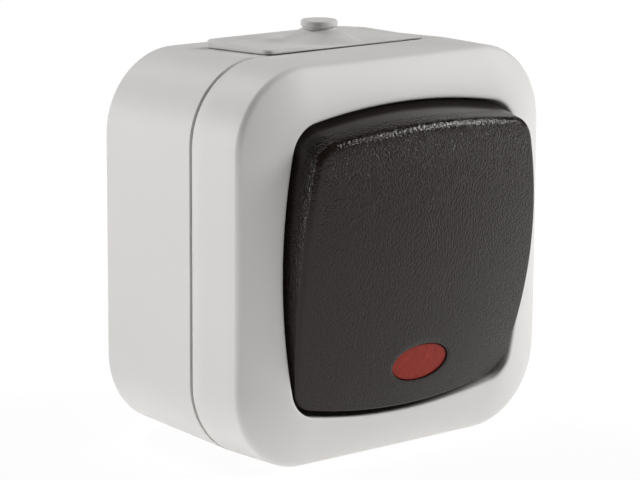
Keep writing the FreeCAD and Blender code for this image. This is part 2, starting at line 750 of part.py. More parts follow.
def make_indicator_lens():
    """An oval plug under the crowned face with a flange behind the rocker's wall."""
    back = "(rocker_height - lens_depth - face_wall / 2)"
    pieces = []
    for name, margin, depth in (("LensPlug", "-lens_clearance", "lens_recess"),
                                ("LensFlange", "lens_flange", "(face_wall + lens_clearance / 2)")):
        ball = doc.addObject("Part::Sphere", f"{name}Ball")
        bind(ball, Radius=f"face_radius - {depth}")
        ball.setExpression("Placement.Base.y", formula("face_radius - rocker_height"))
        piece = doc.addObject("Part::Common", name)
        piece.Base = lens_prism(f"{name}Prism", margin, back, "rocker_height")
        piece.Tool = ball
        pieces.append(piece)
    lens = doc.addObject("Part::Fuse", "IndicatorLens")
    lens.Base, lens.Tool = pieces
    place(lens, PIVOT, "rocker_tilt")
    subpart(lens, "indicator_lens")


def make_rocker_carrier():
    body = new_body("RockerCarrier")
    plate = front_sketch(body, "carrier_rise")
    rectangle(plate, f"-{CARRIER_WIDTH} / 2", f"{CARRIER_WIDTH} / 2",
              "-carrier_length / 2", "carrier_length / 2")
    pad(body, plate, "carrier_plate")
    hub = new_sketch(body, "YZ_Plane")
    circle(hub, "hub_diameter")
    pad(body, hub, CARRIER_WIDTH, both_ways=True)
    trunnions = new_sketch(body, "YZ_Plane")
    circle(trunnions, "trunnion_diameter")
    pad(body, trunnions, TOWER_WIDTH, both_ways=True)
    barrel = front_sketch(body, "carrier_rise + carrier_plate / 2")
    circle(barrel, "barrel_diameter")
    pad(body, barrel, "barrel_length + carrier_rise + carrier_plate / 2", reverse=True)
    bore = front_sketch(body, "-barrel_length")
    circle(bore, "plunger_diameter + 2 * plunger_clearance")
    pocket(body, bore, f"barrel_length + {BORE_END}", reverse=True)
    place(body, PIVOT, "rocker_tilt")
    subpart(body, "rocker_carrier")


def make_contact_plunger():
    body = new_body("ContactPlunger")
    half = new_sketch(body, "XY_Plane")
    back, radius = f"({PLUNGER_REACH} - plunger_length)", "plunger_diameter / 2"
    polygon(half, [("0", back), (radius, back), (radius, f"{PLUNGER_REACH} - plunger_tip"),
                   (f"{radius} - plunger_tip", PLUNGER_REACH), ("0", PLUNGER_REACH)])
    turn_about(body, "Revolution", half, "V_Axis")
    place(body, PIVOT, "rocker_tilt")
    subpart(body, "contact_plunger")


def make_plunger_spring():
    """A coil of square wire between the plunger's back and the end of the carrier's bore."""
    body = new_body("PlungerSpring")
    wire = new_sketch(body, "XY_Plane")
    low = f"({PLUNGER_REACH} - plunger_length - spring_clearance)"
    rectangle(wire, "spring_diameter / 2 - spring_wire", "spring_diameter / 2", f"{low} - spring_wire", low)
    coil = body.newObject("PartDesign::AdditiveHelix", "Coil")
    coil.Profile = wire
    coil.ReferenceAxis = (wire, ["V_Axis"])
    coil.Mode = "height-turns-angle"
    coil.Reversed = True
    bind(coil, Height=f"{low} + {BORE_END} - spring_clearance - spring_wire", Turns="spring_turns")
    place(body, PIVOT, "rocker_tilt")
    subpart(body, "plunger_spring")


def make_mechanism_base():
    body = new_body("MechanismBase")
    w, h, cut = "base_width / 2", f"({TERMINAL_REACH} + base_margin)", "base_corner_cut"
    platform = front_sketch(body, BASE_BACK)
    polygon(platform, [(f"{cut} - {w}", f"-{h}"), (f"{w} - {cut}", f"-{h}"), (w, f"{cut} - {h}"),
                       (w, f"{h} - {cut}"), (f"{w} - {cut}", h), (f"{cut} - {w}", h),
                       (f"-{w}", f"{h} - {cut}"), (f"-{w}", f"{cut} - {h}")])
    pad(body, platform, "platform")
    tower = front_sketch(body, BASE_BACK)
    rectangle(tower, f"-{TOWER_WIDTH} / 2", f"{TOWER_WIDTH} / 2",
              f"-{TOWER_HEIGHT} / 2", f"{TOWER_HEIGHT} / 2")
    pad(body, tower, f"{TOWER_FRONT} - {BASE_BACK}")
    # Bearing ears that stand on the side walls and end round the trunnions
    ear = new_sketch(body, "YZ_Plane", lift="chamber_width / 2")
    rectangle(ear, f"-{PIVOT}", f"tower_gap - {TOWER_FRONT}", "-ear_width / 2", "ear_width / 2")
    blade = pad(body, ear, "ear_wall")
    tip = new_sketch(body, "YZ_Plane", across=f"-{PIVOT}", lift="chamber_width / 2")
    circle(tip, "ear_width")
    eye = pad(body, tip, "ear_wall")
    mirrored(body, blade, eye)
    chamber = front_sketch(body, TOWER_FRONT)
    rectangle(chamber, "-chamber_width / 2", "chamber_width / 2", "-chamber_height / 2", "chamber_height / 2")
    pocket(body, chamber, f"{TOWER_FRONT} - {PLATFORM}")
    bearing = new_sketch(body, "YZ_Plane", across=f"-{PIVOT}", lift=f"-{TOWER_WIDTH}")
    circle(bearing, "trunnion_diameter + 2 * trunnion_clearance")
    pocket(body, bearing, f"2 * {TOWER_WIDTH}", reverse=True)
    # Slots that let the strips out of the chamber
    slots = front_sketch(body, PLATFORM)
    gap = "strip_clearance"
    outer = "(terminal_x + terminal_width / 2)"
    rectangle(slots, f"-strip_width / 2 - {gap}", f"strip_width / 2 + {gap}", "chamber_height / 2 - strip",
              f"{TOWER_HEIGHT} / 2 + strip")
    rectangle(slots, f"-{outer} - {gap}", f"terminal_width - {outer} + {gap}", "chamber_height / 2 - strip",
              f"{TOWER_HEIGHT} / 2 + strip")
    rectangle(slots, f"-strip_width / 2 - {gap}", f"strip_width / 2 + {gap}", f"-{TOWER_HEIGHT} / 2 - strip",
              "strip - chamber_height / 2")
    pocket(body, slots, f"strip + {gap}", reverse=True)
    fixings = front_sketch(body, PLATFORM)
    circle(fixings, "mechanism_hole", "-pillar_spacing / 2")
    circle(fixings, "mechanism_hole", "pillar_spacing / 2")
    pocket(body, fixings, "platform")
    subpart(body, "mechanism_base")


def make_contact_strip(label, half_turn):
    """A fixed contact: pad under the see-saw's tip, leg, and a foot out to its terminal."""
    body = new_body("ContactStrip")
    side = new_sketch(body, "YZ_Plane")
    polygon(side, [(f"-{CONTACT_FRONT}", "pad_inner"), (f"strip - {CONTACT_FRONT}", "pad_inner"),
                   (f"strip - {CONTACT_FRONT}", f"{LEG_OUTER} - strip"),
                   (f"-{PLATFORM}", f"{LEG_OUTER} - strip"), (f"-{PLATFORM}", TERMINAL_REACH),
                   (f"-{STRIP_FRONT}", TERMINAL_REACH), (f"-{STRIP_FRONT}", LEG_OUTER),
                   (f"-{CONTACT_FRONT}", LEG_OUTER)])
    pad(body, side, "strip_width", both_ways=True)
    foot = front_sketch(body, PLATFORM)
    rectangle(foot, "-strip_width / 2", "terminal_x + terminal_width / 2",
              TERMINAL_INNER, TERMINAL_REACH)
    pad(body, foot, "strip")
    hole = front_sketch(body, STRIP_FRONT)
    circle(hole, "terminal_hole", "terminal_x", TERMINAL_Z)
    pocket(body, hole, "strip")
    if half_turn:
        body.Placement = Placement(Vector(0, 0, 0), Rotation(Vector(0, 1, 0), 180))
    subpart(body, label)


def make_common_terminal():
    body = new_body("CommonTerminal")
    outer, inner = "(terminal_x + terminal_width / 2)", "(terminal_x - terminal_width / 2)"
    half = "strip_width / 2"
    plate = front_sketch(body, PLATFORM)
    polygon(plate, [(f"-{outer}", f"-{half}"), (half, f"-{half}"), (half, half), (f"-{inner}", half),
                    (f"-{inner}", TERMINAL_REACH), (f"-{outer}", TERMINAL_REACH)])
    pad(body, plate, "strip")
    fulcrum = new_sketch(body, "YZ_Plane")
    tip, half_wall = f"contact_gap - {FULCRUM}", "fulcrum_wall / 2"
    polygon(fulcrum, [(tip, "0"), (f"{tip} + {half_wall}", f"-{half_wall}"),
                      (f"-{PLATFORM}", f"-{half_wall}"), (f"-{PLATFORM}", half_wall),
                      (f"{tip} + {half_wall}", half_wall)])
    pad(body, fulcrum, "strip_width", both_ways=True)
    hole = front_sketch(body, STRIP_FRONT)
    circle(hole, "terminal_hole", "-terminal_x", TERMINAL_Z)
    pocket(body, hole, "strip")
    subpart(body, "common_terminal")


def make_neutral_terminal():
    body = new_body("NeutralTerminal")
    plate = front_sketch(body, PLATFORM)
    rectangle(plate, "terminal_x - terminal_width / 2", "terminal_x + terminal_width / 2",
              f"-{TERMINAL_REACH}", f"-{TERMINAL_INNER}")
    pad(body, plate, "strip")
    hole = front_sketch(body, STRIP_FRONT)
    circle(hole, "terminal_hole", "terminal_x", f"-{TERMINAL_Z}")
    pocket(body, hole, "strip")
    subpart(body, "neutral_terminal")


def make_terminal_clamps():
    body = new_body("TerminalClamps")
    clamps = front_sketch(body, STRIP_FRONT)
    for side in ("terminal_x", "-terminal_x"):
        rectangle(clamps, f"{side} - terminal_width / 2", f"{side} + terminal_width / 2",
                  TERMINAL_INNER, TERMINAL_REACH)
        circle(clamps, "terminal_hole", side, TERMINAL_Z)
    twice_around(body, pad(body, clamps, "clamp_thickness"))
    subpart(body, "terminal_clamps")


def make_terminal_screws():
    body = new_body("TerminalScrews")
    screws = []
    for side in ("terminal_x", "-terminal_x"):
        half = new_sketch(body, "XY_Plane", across=side, lift=TERMINAL_Z)
        screw_profile(half, CLAMP_FRONT, "clamp_thickness + strip", "terminal_shank", "terminal_head")
        screws.append(turn_about(body, "Revolution", half, "V_Axis"))
    twice_around(body, *screws)
    subpart(body, "terminal_screws")


def make_fixed_contact_tips():
    body = new_body("FixedContactTips")
    discs = front_sketch(body, CONTACT_FRONT)
    circle(discs, "tip_diameter", "0", "tip_place")
    circle(discs, "tip_diameter", "0", "-tip_place")
    pad(body, discs, "tip_height")
    subpart(body, "fixed_contact_tips")


def make_contact_rocker():
    """A see-saw bent to a shallow V about its pivot line, which is the origin here."""
    body = new_body("ContactRocker")
    side = new_sketch(body, "YZ_Plane")
    rise = "seesaw_reach * tan(rocker_tilt)"
    thick = "seesaw_thickness"
    polygon(side, [("0", "0"), (f"-{rise}", "seesaw_reach"), (f"-{rise} - {thick}", "seesaw_reach"),
                   (f"-{thick}", "0"), (f"-{rise} - {thick}", "-seesaw_reach"),
                   (f"-{rise}", "-seesaw_reach")])
    pad(body, side, "seesaw_width", both_ways=True)
    place(body, FULCRUM, "-rocker_tilt")
    subpart(body, "contact_rocker")


def make_moving_contact_tips():
    """Discs on the back of both arms, each square to its arm."""
    body = new_body("MovingContactTips")
    for sign in ("", "-"):
        disc = new_sketch(body, "XZ_Plane")
        disc.AttachmentOffset = Placement(Vector(0, 0, 0), Rotation(Vector(1, 0, 0), 1))
        disc.setExpression("AttachmentOffset.Rotation.Angle", formula(f"{sign}rocker_tilt"))
        circle(disc, "tip_diameter", "0", f"{sign}tip_place")
        pad(body, disc, "tip_height", reverse=True)
    place(body, FULCRUM, "-rocker_tilt")
    subpart(body, "moving_contact_tips")


def make_lamp_holder():
    body = new_body("LampHolder")
    block = front_sketch(body, HOLDER_BACK)
    rectangle(block, "-holder_width / 2", "holder_width / 2", f"-{TOWER_HEIGHT} / 2 - holder_height",
              f"-{TOWER_HEIGHT} / 2")
    pad(body, block, "holder_length")
    bore = front_sketch(body, f"{HOLDER_BACK} + holder_length")
    circle(bore, "lamp_diameter + 2 * lamp_clearance", "0", LAMP_PLACE)
    pocket(body, bore, "holder_length - holder_floor")
    subpart(body, "lamp_holder")


def make_neon_lamp():
    body = new_body("NeonLamp")
    half = new_sketch(body, "XY_Plane", lift=LAMP_PLACE)
    foot = f"({HOLDER_BACK} + holder_floor)"
    tip = f"(-{foot} - lamp_length)"
    polygon(half, [("0", tip), ("lamp_diameter / 2 - lamp_dome", tip),
                   ("lamp_diameter / 2", f"{tip} + lamp_dome"), ("lamp_diameter / 2", f"-{foot}"),
                   ("0", f"-{foot}")])
    turn_about(body, "Revolution", half, "V_Axis")
    subpart(body, "neon_lamp")


def make_lamp_leads():
    """Two flat wires from the holder's back, bent outwards above the strips to the lower clamps."""
    body = new_body("LampLeads")
    inner, outer = "(lead_spacing / 2 - lead_wire / 2)", "(lead_spacing / 2 + lead_wire / 2)"
    low, high = f"({STRIP_FRONT} + lead_wire / 2)", f"({STRIP_FRONT} + lead_wire * 3 / 2)"
    end = "(terminal_x - terminal_width / 2)"
    path = new_sketch(body, "XY_Plane", lift=LAMP_PLACE)
    polygon(path, [(inner, f"-{HOLDER_BACK}"), (inner, f"-({low} + lead_bend)"),
                   (f"{inner} + lead_bend", f"-{low}"), (end, f"-{low}"), (end, f"-{high}"),
                   (f"{outer} + lead_bend / 2", f"-{high}"), (outer, f"-({high} + lead_bend / 2)"),
                   (outer, f"-{HOLDER_BACK}")])
    mirrored(body, pad(body, path, "lead_wire", both_ways=True))
    subpart(body, "lamp_leads")


make_rear_box()
make_front_cover()
make_cover_gasket()
make_cable_membrane()
make_screws("cover_screws", "-cover_screw_x", "cover_screw_z", FLOOR, "cover_screw_length",
            "screw_shank", "screw_head")
make_mechanism_base()
make_screws("mechanism_screws", "pillar_spacing / 2", "0", PLATFORM, "mechanism_screw_length",
            "screw_shank", "screw_head")
make_contact_strip("upper_contact_strip", half_turn=False)
make_contact_strip("lower_contact_strip", half_turn=True)
make_common_terminal()
make_neutral_terminal()
make_terminal_clamps()
make_terminal_screws()
make_fixed_contact_tips()
make_lamp_holder()
make_neon_lamp()
make_lamp_leads()
make_contact_rocker()
make_moving_contact_tips()
make_rocker_carrier()
make_contact_plunger()
make_plunger_spring()
make_rocker()
make_indicator_lens()
doc.recompute()

for item in doc.Objects:
    if {"Invalid", "Error"} & set(item.State):
        raise RuntimeError(f"{item.Name} ({item.Label}) failed: {item.State}")
for item in subparts:
    if item.Shape.isNull() or not item.Shape.isValid() or not item.Shape.Solids:
        raise RuntimeError(f"{item.Label} has no valid solid")

os.makedirs("parts", exist_ok=True)
for item in subparts:
    item.Shape.exportStep(f"parts/{item.Label}.step")
    box = item.Shape.BoundBox
    print(f"{item.Label}: {len(item.Shape.Solids)} solid(s), {item.Shape.Volume:.1f} mm3, "
          f"{box.XLength:.2f} x {box.YLength:.2f} x {box.ZLength:.2f} mm")
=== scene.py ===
"""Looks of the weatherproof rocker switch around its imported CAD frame."""
import json
import math

import bpy
from mathutils import Matrix, Vector


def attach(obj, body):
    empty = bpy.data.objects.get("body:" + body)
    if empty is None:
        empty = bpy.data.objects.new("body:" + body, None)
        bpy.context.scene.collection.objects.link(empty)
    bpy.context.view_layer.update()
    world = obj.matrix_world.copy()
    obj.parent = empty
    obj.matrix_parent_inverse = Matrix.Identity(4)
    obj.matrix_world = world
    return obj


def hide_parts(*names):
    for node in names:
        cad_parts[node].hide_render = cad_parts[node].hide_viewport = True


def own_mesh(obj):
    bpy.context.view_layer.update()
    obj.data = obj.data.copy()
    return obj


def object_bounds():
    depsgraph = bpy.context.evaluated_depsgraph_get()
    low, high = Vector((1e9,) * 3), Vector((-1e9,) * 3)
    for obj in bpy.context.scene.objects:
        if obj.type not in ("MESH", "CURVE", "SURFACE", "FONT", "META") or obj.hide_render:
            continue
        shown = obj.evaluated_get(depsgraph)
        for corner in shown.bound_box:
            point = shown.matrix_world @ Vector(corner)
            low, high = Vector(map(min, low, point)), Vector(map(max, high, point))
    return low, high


MM = 0.001

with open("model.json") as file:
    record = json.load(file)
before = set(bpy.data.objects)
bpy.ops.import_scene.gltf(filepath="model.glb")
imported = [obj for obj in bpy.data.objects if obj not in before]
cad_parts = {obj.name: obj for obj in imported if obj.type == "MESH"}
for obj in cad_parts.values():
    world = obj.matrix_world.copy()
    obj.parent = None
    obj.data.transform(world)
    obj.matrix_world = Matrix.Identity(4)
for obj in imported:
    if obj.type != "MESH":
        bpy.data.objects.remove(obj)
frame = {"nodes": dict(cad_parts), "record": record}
cad_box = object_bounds()
nodes = frame["nodes"]

# Sizes of the housing, in millimetres
CASE_HALF, CASE_CORNER = 33.0, 13.6
BOX_DEPTH, BACK_DRAFT, WALL, SEAM_GAP = 23.9, 0.76, 2.4, 0.55
CREASE_DEPTH, COVER_DRAFT, FRONT_DEPTH = 35.75, 0.1, 39.18
CREASE_RADIUS, CROWN_SWELL, LIP_RADIUS, LIP_LAND = 0.6, 0.42, 0.35, 0.2
BACK_EDGE, GROOVE_INSETS, GROOVE_SINK = 0.2, (1.7, 0.7), 0.9
FLOOR_DEPTH, FLOOR_WALL, WELL_WALL, CHANNEL_ROOF = 29.18, 2.0, 1.8, 35.27
APERTURE_SIDE, APERTURE_LOW, APERTURE_HIGH, APERTURE_CORNER = 14.5, 19.6, 15.0, 2.5
COLLAR_WALL, COLLAR_HEIGHT = 1.4, 2.4

# Sizes of the rocker about its pivot, with the face level
PIVOT_DEPTH = 36.58
REST_TILT = math.radians(8)
OPENING_WIDTH, OPENING_HEIGHT = 52.1, 51.6
OPENING_SIDE_BOW, OPENING_END_BOW, OPENING_CORNER = 2.9, 2.47, 5.6
ROCKER_GAP, ROCKER_SKIRT, ROCKER_CREST = 0.5, 2.5, 8.85
ROCKER_TOP = 10.85
ROCKER_SIDE_TAPER, ROCKER_END_TAPER = 0.3, 1.7
ROCKER_WALL, FACE_WALL, FACE_RADIUS = 1.8, 2.0, 128.0
ROCKER_EDGE, EDGE_GROWTH = 0.72, 0.4
LENS_WIDTH, LENS_HEIGHT, LENS_OFFSET, LENS_DROP, LENS_EDGE = 12.1, 6.6, 1.0, 16.5, 0.2

# Strength of the rocker's grain from the foot of the face to its top, on the ridge and on the wall's band
GRAIN_FOOT, GRAIN_TOP = -20.0, 22.0
GRAIN_BASE, GRAIN_RISE, GRAIN_CREST, CREST_POWER = 0.45, 0.4, 0.35, 6
RIDGE_GRAIN, SIDE_GRAIN, WALL_GRAIN = 0.5, 1.3, 0.3
GRAINED_WALL, GRAINED_SIDE = 2.5, 20.0

# Sizes of the cable membrane from its outer flange, with y from the seam to the wall
ENTRY_WIDTH, ENTRY_REACH, ENTRY_CLEARANCE = 28.6, 13.4, 0.15
FLANGE_OVERLAP, FLANGE_THICKNESS, FLANGE_CORNER, FLANGE_EDGE = 3.0, 1.0, 1.6, 0.5
RIM_WIDTH, RIM_HEIGHT, PLATE_LIFT, SEAM_LAP = 1.6, 0.6, 0.035, 0.5
SAG_SHARE, SAG_WIDTH, SAG_REACH = 0.6, 8.0, 3.0
CONE_PLACE, CONE_BASE, CONE_NECK, CONE_HEIGHT, CONE_POWER = 7.0, 13.9, 6.2, 1.35, 1.2
GROOVE_DIAMETER, GROOVE_HEIGHT, GROOVE_EASE = 5.4, 0.45, 0.3
CAP_DIAMETER, CAP_HEIGHT, CAP_EDGE = 6.2, 1.1, 0.4

# Steps of the rings that the pieces are drawn with
SIDE_STEPS, CORNER_STEPS = 28, 14
CREASE_STEPS, CROWN_STEPS, LIP_STEPS = 7, 18, 5
FACE_STEPS, WALL_STEPS, RIDGE_STEPS = 26, 5, 8
RIM_STEPS, CONE_STEPS = 6, 24
SHARP_ANGLE, CAD_SHARP_ANGLE = math.radians(35), math.radians(24)


def arc_points(centre, radius, start, end, steps):
    """Points on an arc, without its last one."""
    angles = [start + (end - start) * step / steps for step in range(steps)]
    return [(centre[0] + radius * math.cos(a), centre[1] + radius * math.sin(a)) for a in angles]


def cushion(width, height, side_radius, end_radius, corner):
    """A square with bowed sides, as points anticlockwise from the lower end of the right side."""
    side_centre, end_centre = width / 2 - side_radius, height / 2 - end_radius
    span = math.hypot(side_centre, end_centre)
    side_reach, end_reach = side_radius - corner, end_radius - corner
    along = (side_reach ** 2 - end_reach ** 2 + span ** 2) / (2 * span)
    off = math.sqrt(side_reach ** 2 - along ** 2)
    ux, uy = -side_centre / span, end_centre / span
    corner_x, corner_y = max(((side_centre + along * ux - sign * off * uy, along * uy + sign * off * ux)
                              for sign in (1, -1)), key=min)
    low = math.atan2(corner_y, corner_x - side_centre)
    high = math.atan2(corner_y - end_centre, corner_x)
    turn = math.pi
    points = arc_points((side_centre, 0), side_radius, -low, low, SIDE_STEPS)
    points += arc_points((corner_x, corner_y), corner, low, high, CORNER_STEPS)
    points += arc_points((0, end_centre), end_radius, high, turn - high, SIDE_STEPS)
    points += arc_points((-corner_x, corner_y), corner, turn - high, turn - low, CORNER_STEPS)
    points += arc_points((-side_centre, 0), side_radius, turn - low, turn + low, SIDE_STEPS)
    points += arc_points((-corner_x, -corner_y), corner, turn + low, turn + high, CORNER_STEPS)
    points += arc_points((0, -end_centre), end_radius, turn + high, 2 * turn - high, SIDE_STEPS)
    points += arc_points((corner_x, -corner_y), corner, 2 * turn - high, 2 * turn - low, CORNER_STEPS)
    return points


def opening_outline(side_inset, end_inset):
    """The outline of the cover's opening, drawn in at the sides and at the ends."""
    half_width, half_height = OPENING_WIDTH / 2, OPENING_HEIGHT / 2
    side = ((half_height - OPENING_END_BOW) ** 2 + OPENING_SIDE_BOW ** 2) / (2 * OPENING_SIDE_BOW)
    end = ((half_width - OPENING_SIDE_BOW) ** 2 + OPENING_END_BOW ** 2) / (2 * OPENING_END_BOW)
    return cushion(OPENING_WIDTH - 2 * side_inset, OPENING_HEIGHT - 2 * end_inset, side - side_inset,
                   end - end_inset, OPENING_CORNER - (side_inset + end_inset) / 2)


def rounded_rectangle(left, right, low, high, corner):
    """Points of a rectangle with round corners, in the order of a cushion's."""
    points = []
    quarter = math.pi / 2
    centres = [(right - corner, high - corner), (left + corner, high - corner),
               (left + corner, low + corner), (right - corner, low + corner)]
    starts = [(right, low + corner), (right - corner, high), (left, high - corner), (left + corner, low)]
    for side, (centre, start) in enumerate(zip(centres, starts)):
        end = (centre[0] + corner * math.cos(side * quarter), centre[1] + corner * math.sin(side * quarter))
        points += [tuple(a + (b - a) * step / SIDE_STEPS for a, b in zip(start, end))
                   for step in range(SIDE_STEPS)]
        points += arc_points(centre, corner, side * quarter, (side + 1) * quarter, CORNER_STEPS)
    return points


def mix(one, other, share):
    """The point that lies at a share of the way from one to the other."""
    return tuple(a + (b - a) * share for a, b in zip(one, other))


def ring_mesh(name, rings, closed=False, capped=()):
    """A smooth mesh through rings of equal length; closed joins the last ring to the first."""
    count = len(rings[0])
    verts = [Vector(point) * MM for ring in rings for point in ring]
    pairs = [(k, k + 1) for k in range(len(rings) - 1)]
    if closed:
        pairs.append((len(rings) - 1, 0))
    faces = [(a * count + i, a * count + (i + 1) % count, b * count + (i + 1) % count, b * count + i)
             for a, b in pairs for i in range(count)]
    for k in capped:
        corners = range(k * count, (k + 1) * count)
        faces.append(tuple(corners) if k else tuple(reversed(corners)))
    mesh = bpy.data.meshes.new(name)
    mesh.from_pydata(verts, [], faces)
    mesh.validate()
    mesh.polygons.foreach_set("use_smooth", [True] * len(mesh.polygons))
    mesh.set_sharp_from_angle(angle=SHARP_ANGLE)
    made = bpy.data.objects.new(name, mesh)
    bpy.context.scene.collection.objects.link(made)
    return made


def stand_in(piece, node, body):
    """Let a piece stand for a CAD node and move with its body."""
    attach(piece, body)
    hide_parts(node)


def bend(start, corner, end, steps):
    """Rings of a rounded edge from one ring to another, drawn towards a corner ring, without the first."""
    rings = []
    for step in range(1, steps + 1):
        share = step / steps
        weights = (1 - share) ** 2, 2 * share * (1 - share) * math.sqrt(0.5), share ** 2

        def weighted(values):
            return sum(weight * value for weight, value in zip(weights, values)) / sum(weights)

        rings.append([tuple(weighted(axis) for axis in zip(*trio)) for trio in zip(start, corner, end)])
    return rings


def make_cover():
    """The cover with its swelling front, its lip, and the well and channel behind it."""
    back = BOX_DEPTH + SEAM_GAP
    under = FLOOR_DEPTH - FLOOR_WALL

    def case(inset, depth, thinner=0.0):
        """The outline of the housing, drawn in."""
        half = CASE_HALF - inset
        return [(x, -depth, z) for x, z in rounded_rectangle(-half, half, -half, half, CASE_CORNER - thinner)]

    def opening(inset, depth):
        """The outline of the rocker's opening, drawn in."""
        return [(x, -depth, z) for x, z in opening_outline(inset, inset)]

    def aperture(inset, depth):
        """The hole in the floor for the rocker's carrier, drawn in."""
        outline = rounded_rectangle(inset - APERTURE_SIDE, APERTURE_SIDE - inset, inset - APERTURE_LOW,
                                    APERTURE_HIGH - inset, APERTURE_CORNER - inset)
        return [(x, -depth, z) for x, z in outline]

    def blend(one, other, steps):
        """Rings from one ring straight to another, without the first."""
        return [[mix(a, b, step / steps) for a, b in zip(one, other)] for step in range(1, steps + 1)]

    crest = opening(-LIP_RADIUS - LIP_LAND, FRONT_DEPTH)
    edge = case(COVER_DRAFT, CREASE_DEPTH)

    def crown(share):
        """A ring of the swelling front at a share of the way from the crease to the lip."""
        rise = share * (1 + CROWN_SWELL * (1 - share)) * (FRONT_DEPTH - CREASE_DEPTH)
        return [(x, -CREASE_DEPTH - rise, z) for x, _, z in (mix(a, b, share) for a, b in zip(edge, crest))]

    rings = [case(BACK_EDGE, back), case(0.3 * BACK_EDGE, back + 0.2 * BACK_EDGE),
             case(0, back + BACK_EDGE)]
    shoulder = case(COVER_DRAFT, CREASE_DEPTH - CREASE_RADIUS)
    rings += blend(rings[-1], shoulder, 4)
    start = 0.1
    rings += bend(shoulder, edge, crown(start), CREASE_STEPS)
    rings += [crown(start + (1 - start) * step / CROWN_STEPS) for step in range(1, CROWN_STEPS + 1)]
    land = opening(-LIP_RADIUS, FRONT_DEPTH)
    throat = opening(0, FRONT_DEPTH - LIP_RADIUS)
    rings += [land] + bend(land, opening(0, FRONT_DEPTH), throat, LIP_STEPS)
    rings += blend(throat, opening(0, FLOOR_DEPTH), 3)
    # Floor with the upstand of the aperture, then back along the hidden side
    rings += blend(rings[-1], aperture(-COLLAR_WALL, FLOOR_DEPTH), 3)
    rings += [aperture(-COLLAR_WALL, FLOOR_DEPTH + COLLAR_HEIGHT), aperture(0, FLOOR_DEPTH + COLLAR_HEIGHT),
              aperture(0, under)]
    rings += blend(rings[-1], opening(-WELL_WALL, under), 3)
    rings += [opening(-WELL_WALL, CHANNEL_ROOF), case(WALL + COVER_DRAFT, CHANNEL_ROOF, WALL),
              case(WALL + COVER_DRAFT, under, WALL), case(WALL, back, WALL)]
    inner, outer = GROOVE_INSETS
    rings += [case(inner, back, inner), case(inner, back + GROOVE_SINK, inner),
              case(outer, back + GROOVE_SINK, outer), case(outer, back, outer)]
    cover = ring_mesh("cover_shell", rings, closed=True)
    stand_in(cover, "front_cover", "housing")
    return cover


def crown_depth(x, z, sink=0.0):
    """Depth of the rocker's crowned face, or of a surface under it."""
    return ROCKER_CREST - FACE_RADIUS + math.sqrt((FACE_RADIUS - sink) ** 2 - x * x - z * z)


def wall_at(outlines, index, depth):
    """The point of a tapered wall at a depth between the skirt's outline and the top one's."""
    share = (depth + ROCKER_SKIRT) / (ROCKER_TOP + ROCKER_SKIRT)
    return mix(outlines[0][index], outlines[1][index], share)


def ridge_of(outlines, index, sink):
    """Where a wall meets the crowned surface."""
    depth = ROCKER_CREST
    for _ in range(6):
        depth = crown_depth(*wall_at(outlines, index, depth), sink)
    return depth


def grain_at(point):
    """Strength of the grain, which is deeper towards the top ridge."""
    rise = min(1.0, max(0.0, (point[2] - GRAIN_FOOT) / (GRAIN_TOP - GRAIN_FOOT)))
    return GRAIN_BASE + GRAIN_RISE * rise + GRAIN_CREST * rise ** CREST_POWER


